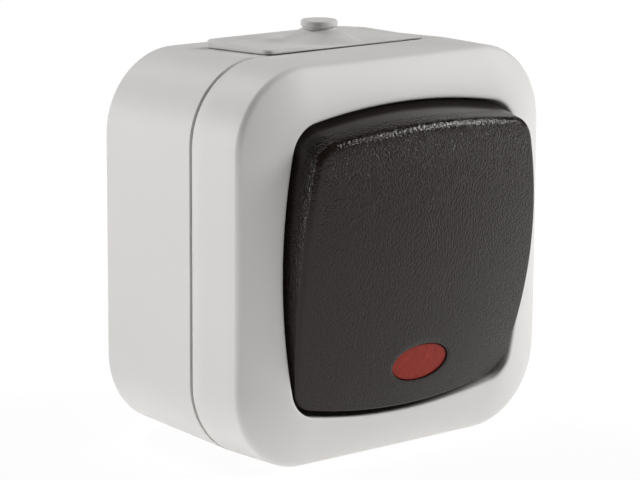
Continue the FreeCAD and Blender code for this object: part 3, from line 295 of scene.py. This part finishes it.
def make_rocker():
    """A hollow crowned cap with a rounded ridge and an oval hole for the lens; the grain ends on the wall."""
    outer, inner = ((opening_outline(inset, inset),
                     opening_outline(inset + ROCKER_SIDE_TAPER, inset + ROCKER_END_TAPER))
                    for inset in (ROCKER_GAP, ROCKER_GAP + ROCKER_WALL))
    spots = range(len(outer[0]))
    ridges = [ridge_of(outer, i, 0) for i in spots]
    roots = [ridge_of(inner, i, FACE_WALL) for i in spots]
    centre = (LENS_OFFSET, -LENS_DROP)

    def oval(index, margin):
        """The point of the lens hole that lies towards a point of the ridge."""
        corner = wall_at(outer, index, ridges[index])
        dx, dz = corner[0] - centre[0], corner[1] - centre[1]
        reach = 1 / math.hypot(dx / (LENS_WIDTH / 2 + margin), dz / (LENS_HEIGHT / 2 + margin))
        return centre[0] + dx * reach, centre[1] + dz * reach

    def wall_ring(outlines, depths):
        """A ring on a tapered wall, with a depth for each point."""
        places = [wall_at(outlines, i, depths[i]) for i in spots]
        return [(x, -depth, z) for (x, z), depth in zip(places, depths)]

    def crowned(points, sink=0.0, drop=0.0):
        """A ring on the crowned face or on the surface under it."""
        return [(x, drop - crown_depth(x, z, sink), z) for x, z in points]

    # Underside from the lens hole outwards, then back along the inner wall and out along the smooth outer one
    eaves = [wall_at(inner, i, roots[i]) for i in spots]
    rings = [crowned([mix(oval(i, 0), eaves[i], step / FACE_STEPS) for i in spots], FACE_WALL)
             for step in range(FACE_STEPS + 1)]
    skirt = [-ROCKER_SKIRT for _ in spots]
    rings += [wall_ring(inner, mix(roots, skirt, step / WALL_STEPS)) for step in range(1, WALL_STEPS + 1)]
    radii = [ROCKER_EDGE + EDGE_GROWTH * wall_at(outer, i, 0)[1] / (OPENING_HEIGHT / 2) for i in spots]
    sills = [ridge - radius for ridge, radius in zip(ridges, radii)]
    plain_tops = [sill - GRAINED_WALL for sill in sills]
    rings += [wall_ring(outer, mix(skirt, plain_tops, step / WALL_STEPS)) for step in range(WALL_STEPS + 1)]
    plain_rings = len(rings)
    rings += [wall_ring(outer, mix(plain_tops, sills, step / WALL_STEPS))
              for step in range(1, WALL_STEPS + 1)]
    # Quarter-round ridge between the wall and the crown
    starts, corners, ends = rings[-1], wall_ring(outer, ridges), []
    for i in spots:
        before, after = corners[i - 1], corners[(i + 1) % len(spots)]
        tangent = Vector((after[0] - before[0], after[2] - before[2])).normalized()
        x, z = corners[i][0] - tangent.y * radii[i], corners[i][2] + tangent.x * radii[i]
        ends.append((x, -crown_depth(x, z), z))
    rings += bend(starts, corners, ends, RIDGE_STEPS)
    # Crowned face in to the lens hole, whose edge is slightly rounded
    rings += [crowned([mix((ends[i][0], ends[i][2]), oval(i, LENS_EDGE), step / FACE_STEPS) for i in spots])
              for step in range(1, FACE_STEPS + 1)]
    rings.append(crowned([oval(i, LENS_EDGE * 0.3) for i in spots], drop=LENS_EDGE * 0.3))
    rings.append(crowned([oval(i, 0) for i in spots], drop=LENS_EDGE))
    rocker = ring_mesh("rocker_cap", rings, closed=True)
    grain = rocker.data.attributes.new("grain", "FLOAT", "POINT")
    band_ends = plain_rings + WALL_STEPS
    values = []
    for k, ring in enumerate(rings):
        if k < plain_rings:
            values += [0.0] * len(ring)
        elif k < band_ends:
            values += [SIDE_GRAIN * grain_at(point) if point[0] < -GRAINED_SIDE else WALL_GRAIN
                       for point in ring]
        else:
            share = RIDGE_GRAIN if k < band_ends + RIDGE_STEPS else 1.0
            values += [share * grain_at(point) for point in ring]
    grain.data.foreach_set("value", values)
    tilt = Matrix.Rotation(REST_TILT, 4, "X")
    rocker.data.transform(Matrix.Translation((0, -PIVOT_DEPTH * MM, 0)) @ tilt)
    stand_in(rocker, "rocker", "rocker")
    return rocker


def make_membrane():
    """The rubber plate with its rim, cone and nipple, and the web and inner flange that hold it."""
    side, reach = ENTRY_WIDTH / 2 + FLANGE_OVERLAP, ENTRY_REACH + FLANGE_OVERLAP
    skin = ENTRY_CLEARANCE + FLANGE_THICKNESS
    plate_level, neck = skin - RIM_HEIGHT, skin + CONE_HEIGHT
    cap = neck + GROOVE_HEIGHT
    top = cap + CAP_HEIGHT

    def plate(inset, height):
        """The outline of the flange, drawn in."""
        corner = max(FLANGE_CORNER - inset * 0.6, 0.4)
        outline = rounded_rectangle(inset - side, side - inset, inset - SEAM_LAP, reach - inset, corner)
        return [(x, y, height) for x, y in outline]

    def web(height):
        """The outline of the web that stands in the wall's opening."""
        outline = rounded_rectangle(ENTRY_CLEARANCE - ENTRY_WIDTH / 2, ENTRY_WIDTH / 2 - ENTRY_CLEARANCE,
                                    ENTRY_CLEARANCE, ENTRY_REACH - ENTRY_CLEARANCE, ENTRY_CLEARANCE)
        return [(x, y, height) for x, y in outline]

    def sagged(ring):
        """A ring settled on the box: the rim is flatter from the middle of its front edge to its right end."""
        settled = []
        for x, y, height in ring:
            along = math.exp(-(x / SAG_WIDTH) ** 2) if x < 0 else 1.0
            front = along * max(0.0, 1 - y / SAG_REACH)
            right_end = min(1.0, max(0.0, x / SAG_WIDTH - 1)) ** 2
            share = SAG_SHARE * max(front, right_end)
            above = max(0.0, height - ENTRY_CLEARANCE)
            lift = PLATE_LIFT * (y - CONE_PLACE) * min(1.0, above / RIM_HEIGHT)
            settled.append((x, y, height - share * above + lift))
        return settled

    floor = plate(RIM_WIDTH, plate_level)

    def turned(radius, height):
        """A circle about the nipple's line, each point in the direction of the plate's edge point."""
        angles = [math.atan2(y - CONE_PLACE, x) for x, y, _ in floor]
        return [(radius * math.cos(angle), CONE_PLACE + radius * math.sin(angle), height) for angle in angles]

    def flank(x, y):
        """Height of the plate with its concave cone."""
        run = CONE_BASE / 2 - math.hypot(x, y - CONE_PLACE)
        share = max(0.0, run) / (CONE_BASE / 2 - CONE_NECK / 2)
        return plate_level + (neck - plate_level) * share ** CONE_POWER

    low = -WALL - ENTRY_CLEARANCE
    rings = [plate(0, low - FLANGE_THICKNESS), plate(0, low), web(low), web(ENTRY_CLEARANCE),
             plate(0, ENTRY_CLEARANCE), plate(0, skin - FLANGE_EDGE)]
    # Rounded rim and its fall to the plate
    for step in range(1, RIM_STEPS + 1):
        turn = step / RIM_STEPS * math.pi / 2
        rings.append(plate(FLANGE_EDGE * (1 - math.cos(turn)), skin - FLANGE_EDGE * (1 - math.sin(turn))))
    for step in range(1, RIM_STEPS + 1):
        share = step / RIM_STEPS
        ease = share * share * (3 - 2 * share)
        ring = plate(FLANGE_EDGE + (RIM_WIDTH - FLANGE_EDGE) * share, 0)
        rings.append([(x, y, skin + (flank(x, y) - skin) * ease) for x, y, _ in ring])
    collar = turned(CONE_NECK / 2, neck)
    for step in range(1, CONE_STEPS + 1):
        ring = [mix(edge, ring_point, step / CONE_STEPS) for edge, ring_point in zip(floor, collar)]
        rings.append([(x, y, flank(x, y)) for x, y, _ in ring])
    # Groove and cap with its rounded rim
    for diameter, height in ((GROOVE_DIAMETER + GROOVE_EASE, neck + 0.02),
                             (GROOVE_DIAMETER, neck + GROOVE_HEIGHT * 0.3),
                             (GROOVE_DIAMETER, cap - GROOVE_HEIGHT * 0.2),
                             (CAP_DIAMETER - GROOVE_EASE, cap),
                             (CAP_DIAMETER, cap + GROOVE_EASE / 2)):
        rings.append(turned(diameter / 2, height))
    for step in range(RIM_STEPS + 1):
        turn = step / RIM_STEPS * math.pi / 2
        rings.append(turned(CAP_DIAMETER / 2 - CAP_EDGE * (1 - math.cos(turn)),
                            top - CAP_EDGE * (1 - math.sin(turn))))
    for share in (0.7, 0.4, 0.1):
        rings.append(turned((CAP_DIAMETER / 2 - CAP_EDGE) * share, top))
    membrane = ring_mesh("membrane_skin", [sagged(ring) for ring in rings], capped=(0, len(rings) - 1))
    tilt = Matrix.Rotation(-math.atan(BACK_DRAFT / BOX_DEPTH), 4, "X")
    membrane.data.transform(Matrix.Translation((0, -BOX_DEPTH * MM, CASE_HALF * MM)) @ tilt)
    stand_in(membrane, "cable_membrane", "housing")
    return membrane


def make_spring():
    """The plunger's spring, copied from its CAD node to move with the rocker."""
    spring = bpy.data.objects.new("spring_coil", nodes["plunger_spring"].data.copy())
    bpy.context.scene.collection.objects.link(spring)
    stand_in(spring, "plunger_spring", "rocker")
    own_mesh(spring)
    return spring


class Look:
    """A procedural material under construction."""

    def __init__(self, name):
        self.material = bpy.data.materials.new(name)
        self.material.use_nodes = True
        self.tree = self.material.node_tree
        self.shader = self.tree.nodes["Principled BSDF"]

    def node(self, kind, links=None, **settings):
        """A new node, with its inputs fed from sockets or plain values."""
        made = self.tree.nodes.new(kind)
        for name, setting in settings.items():
            setattr(made, name, setting)
        for socket, source in (links or {}).items():
            self.feed(made.inputs[socket], source)
        return made

    def feed(self, socket, source):
        """Link a socket to another one, or give it a plain value."""
        if isinstance(source, bpy.types.NodeSocket):
            self.tree.links.new(source, socket)
        else:
            socket.default_value = source

    def set(self, **sockets):
        """Shader sockets by name, with underscores for spaces."""
        for name, source in sockets.items():
            self.feed(self.shader.inputs[name.replace("_", " ").title().replace("Ior", "IOR")], source)

    def place(self):
        """Object coordinates, which are the row frame's metres."""
        return self.node("ShaderNodeTexCoord").outputs["Object"]

    def noise(self, scale, detail=2.0, roughness=0.5):
        """Values of a noise in the object's space."""
        return self.node("ShaderNodeTexNoise", {"Vector": self.place(), "Scale": scale, "Detail": detail,
                                                "Roughness": roughness}).outputs["Fac"]

    def ramp(self, source, stops):
        """A colour ramp through (position, colour) stops."""
        made = self.node("ShaderNodeValToRGB", {"Fac": source})
        points = made.color_ramp.elements
        while len(points) < len(stops):
            points.new(0.5)
        for point, (position, colour) in zip(points, stops):
            point.position = position
            point.color = (*colour, 1)
        return made.outputs["Color"]

    def bump(self, height, distance, strength=1.0, normal=None):
        """Normals of a surface raised by a height."""
        links = {"Height": height, "Distance": distance, "Strength": strength}
        if normal is not None:
            links["Normal"] = normal
        return self.node("ShaderNodeBump", links).outputs["Normal"]

    def rounded(self, radius):
        """Normals as if sharp edges had a small radius."""
        return self.node("ShaderNodeBevel", {"Radius": radius}, samples=6).outputs["Normal"]


def shade(colour, factor):
    """A colour made lighter or darker."""
    return tuple(channel * factor for channel in colour)


def plastic(name, colour, roughness, spread=0.03, edge=0.0003):
    """Moulded plastic: a slight drift of colour, a fine matte skin and softened edges."""
    skin_scale, skin_depth = 2500.0, 0.00001
    look = Look(name)
    drift = look.noise(45.0, 3.0)
    tint = look.ramp(drift, [(0.3, shade(colour, 1 - spread)), (0.7, shade(colour, 1 + spread))])
    skin = look.bump(look.noise(skin_scale, 3.0), skin_depth, normal=look.rounded(edge))
    look.set(base_color=tint, roughness=roughness, normal=skin, specular_ior_level=0.4)
    return look.material


def metal(name, colour, roughness):
    """Plain metal with faint scratches."""
    brushed, scratch_depth, edge = 900.0, 0.000005, 0.0001
    look = Look(name)
    tint = look.ramp(look.noise(brushed, 4.0), [(0.3, shade(colour, 0.85)), (0.7, colour)])
    scratch = look.bump(look.noise(brushed * 3, 2.0), scratch_depth, normal=look.rounded(edge))
    look.set(base_color=tint, metallic=1.0, roughness=roughness, normal=scratch)
    return look.material


def grained_plastic(name, colour):
    """Anthracite plastic with a fine leather-like grain where the mesh says so, and smooth elsewhere."""
    warp_scale, warp_reach, cell_scale, grain_depth = 1600.0, 0.0005, 3300.0, 0.00013
    look = Look(name)
    where = look.node("ShaderNodeAttribute", attribute_name="grain").outputs["Fac"]
    warp = look.node("ShaderNodeTexNoise", {"Vector": look.place(), "Scale": warp_scale, "Detail": 2.0})
    shift = look.node("ShaderNodeVectorMath", {0: warp.outputs["Color"], 1: [warp_reach] * 3},
                      operation="MULTIPLY")
    place = look.node("ShaderNodeVectorMath", {0: look.place(), 1: shift.outputs["Vector"]}, operation="ADD")
    cells = look.node("ShaderNodeTexVoronoi", {"Vector": place.outputs["Vector"], "Scale": cell_scale},
                      feature="SMOOTH_F1")
    height = look.ramp(cells.outputs["Distance"], [(0.0, (1, 1, 1)), (0.75, (0, 0, 0))])
    grain = look.bump(height, grain_depth, where)
    # The colour follows the same cells as the bump: lighter on the raised cells and darker in the hollows
    # between them, which is painted light and shade on the grain.
    tint = look.ramp(cells.outputs["Distance"], [(0.1, shade(colour, 1.1)), (0.8, shade(colour, 0.8))])
    look.set(base_color=tint, roughness=0.18, normal=grain, specular_ior_level=0.28)
    return look.material


def lens_plastic(name, colour):
    """Red translucent plastic with small moulded prisms that show as flecks: bumps, with painted glints in the
    colour.
    """
    fleck_scale, fleck_depth, edge = 900.0, 0.00008, 0.0003
    look = Look(name)
    flecks = look.noise(fleck_scale, 3.0, 0.6)
    # The colour is lighter on the raised flecks and darker between them: painted glints and shade of the
    # prisms.
    tint = look.ramp(flecks, [(0.35, shade(colour, 0.85)), (0.6, colour), (0.75, shade(colour, 1.25))])
    skin = look.bump(flecks, fleck_depth, normal=look.rounded(edge))
    look.set(base_color=tint, roughness=0.38, normal=skin, specular_ior_level=0.15, transmission_weight=0.08)
    return look.material


def glass(name, colour):
    """Clear glass, slightly uneven."""
    wave_scale, wave_depth = 600.0, 0.00002
    look = Look(name)
    look.set(base_color=(*colour, 1), roughness=0.05, transmission_weight=0.9, ior=1.5)
    look.set(normal=look.bump(look.noise(wave_scale, 1.0), wave_depth))
    return look.material


HOUSING_GREY = (0.664, 0.650, 0.636)
LOOKS = {
    "grey_plastic": plastic("grey_plastic", HOUSING_GREY, 0.5, spread=0.012),
    "membrane_rubber": plastic("membrane_rubber", shade(HOUSING_GREY, 0.95), 0.6, spread=0.02, edge=0.0002),
    "gasket_rubber": plastic("gasket_rubber", (0.02, 0.02, 0.02), 0.8),
    "anthracite_plastic": grained_plastic("anthracite_plastic", (0.017, 0.0115, 0.010)),
    "black_plastic": plastic("black_plastic", (0.01, 0.01, 0.01), 0.45),
    "red_lens": lens_plastic("red_lens", (0.27, 0.02, 0.009)),
    "insulator_plastic": plastic("insulator_plastic", (0.68, 0.66, 0.58), 0.45),
    "contact_brass": metal("contact_brass", (0.60, 0.42, 0.16), 0.35),
    "contact_silver": metal("contact_silver", (0.72, 0.71, 0.68), 0.25),
    "screw_steel": metal("screw_steel", (0.56, 0.55, 0.53), 0.35),
    "spring_steel": metal("spring_steel", (0.40, 0.40, 0.41), 0.3),
    "lead_wire": metal("lead_wire", (0.55, 0.50, 0.42), 0.4),
    "lamp_glass": glass("lamp_glass", (0.95, 0.92, 0.88)),
}


def smooth_by_angle(item, limit):
    """Shade a CAD node smooth across gentle edges and crisp across sharp ones."""
    item.data.polygons.foreach_set("use_smooth", [True] * len(item.data.polygons))
    split = item.modifiers.new("crisp_edges", "EDGE_SPLIT")
    split.split_angle = limit


def dress(item, slot):
    """Give a piece the material of a slot of the record."""
    item.data.materials.clear()
    item.data.materials.append(LOOKS[slot])


for part in frame["record"]["subparts"]:
    dress(nodes[part["node"]], part["material_slot"])
    smooth_by_angle(nodes[part["node"]], CAD_SHARP_ANGLE)
dress(make_cover(), "grey_plastic")
dress(make_rocker(), "anthracite_plastic")
dress(make_membrane(), "membrane_rubber")
dress(make_spring(), "spring_steel")


CAMERA_PLACE = Vector((-316.51, -389.38, 99.96)) * MM


def add_camera():
    """The photograph's viewpoint: a long lens from the left and slightly above."""
    yaw, pitch, roll = math.radians(40.391), math.radians(11.648), math.radians(0.334)
    ahead = Vector((math.sin(yaw) * math.cos(pitch), math.cos(yaw) * math.cos(pitch), -math.sin(pitch)))
    level = Vector((math.cos(yaw), -math.sin(yaw), 0))
    upright = level.cross(ahead)
    right = level * math.cos(roll) + upright * math.sin(roll)
    up = upright * math.cos(roll) - level * math.sin(roll)
    data = bpy.data.cameras.new("camera")
    data.sensor_width = 36.0
    data.lens = 165.5
    data.clip_start = 0.01
    camera = bpy.data.objects.new("camera", data)
    turned = Matrix((right, up, -ahead)).transposed().to_4x4()
    camera.matrix_world = Matrix.Translation(CAMERA_PLACE) @ turned
    bpy.context.scene.collection.objects.link(camera)
    bpy.context.scene.camera = camera


FLOOR_HALF, FLOOR_GAP = 40.0, 0.05 * MM
FLOOR_GLOW, FLOOR_WHITE, WHITE_SHARE = 0.47, 0.98, 0.88


def add_floor():
    """A white floor, shown bright to the camera, that keeps a faint shadow."""
    low, half = cad_box[0][2] - FLOOR_GAP, FLOOR_HALF
    mesh = bpy.data.meshes.new("floor")
    mesh.from_pydata([(-half, -half, low), (half, -half, low), (half, half, low), (-half, half, low)], [],
                     [(0, 1, 2, 3)])
    floor = bpy.data.objects.new("floor", mesh)
    bpy.context.scene.collection.objects.link(floor)
    look = Look("floor_white")
    look.set(base_color=(0.9, 0.9, 0.9, 1), roughness=0.9, emission_color=(1, 1, 1, 1),
             emission_strength=FLOOR_GLOW)
    glow = look.node("ShaderNodeEmission", {"Color": (1, 1, 1, 1), "Strength": FLOOR_WHITE})
    path = look.node("ShaderNodeLightPath")
    seen = look.node("ShaderNodeMath", {0: path.outputs["Is Camera Ray"], 1: path.outputs["Is Glossy Ray"]},
                     operation="MAXIMUM")
    shown = look.node("ShaderNodeMath", {0: seen.outputs[0], 1: path.outputs["Is Transmission Ray"]},
                      operation="MAXIMUM")
    share = look.node("ShaderNodeMath", {0: shown.outputs[0], 1: WHITE_SHARE}, operation="MULTIPLY")
    blend = look.node("ShaderNodeMixShader", {0: share.outputs[0], 1: look.shader.outputs[0],
                                              2: glow.outputs[0]})
    look.tree.links.new(blend.outputs[0], look.tree.nodes["Material Output"].inputs["Surface"])
    mesh.materials.append(look.material)


# Soft boxes as (name, azimuth from the front towards the right, elevation, size, watts)
LAMPS = [
    ("right_box", 54, 28, 0.45, 7.5),
    ("upper_right_box", 62, 44, 0.27, 4.3),
    ("left_box", -129, 11, 0.36, 6.1),
    ("back_box", -168, 50, 0.6, 7.2),
]
LAMP_DISTANCE, WORLD_LEVEL = 1.2, 0.01


def add_lights():
    """The soft boxes, all aimed at the origin, and a nearly dark world."""
    for name, azimuth, elevation, size, watts in LAMPS:
        data = bpy.data.lights.new(name, "AREA")
        data.shape = "DISK"
        data.size = size
        data.energy = watts
        lamp = bpy.data.objects.new(name, data)
        turn, rise = math.radians(azimuth), math.radians(elevation)
        towards = Vector((math.sin(turn) * math.cos(rise), -math.cos(turn) * math.cos(rise), math.sin(rise)))
        lamp.location = LAMP_DISTANCE * towards
        lamp.rotation_euler = lamp.location.to_track_quat("Z", "Y").to_euler()
        bpy.context.scene.collection.objects.link(lamp)
    world = bpy.data.worlds.new("studio")
    world.use_nodes = True
    background = world.node_tree.nodes["Background"]
    background.inputs["Color"].default_value = (1, 1, 1, 1)
    background.inputs["Strength"].default_value = WORLD_LEVEL
    bpy.context.scene.world = world


add_camera()
add_floor()
add_lights()
bpy.context.scene.view_settings.view_transform = "Standard"
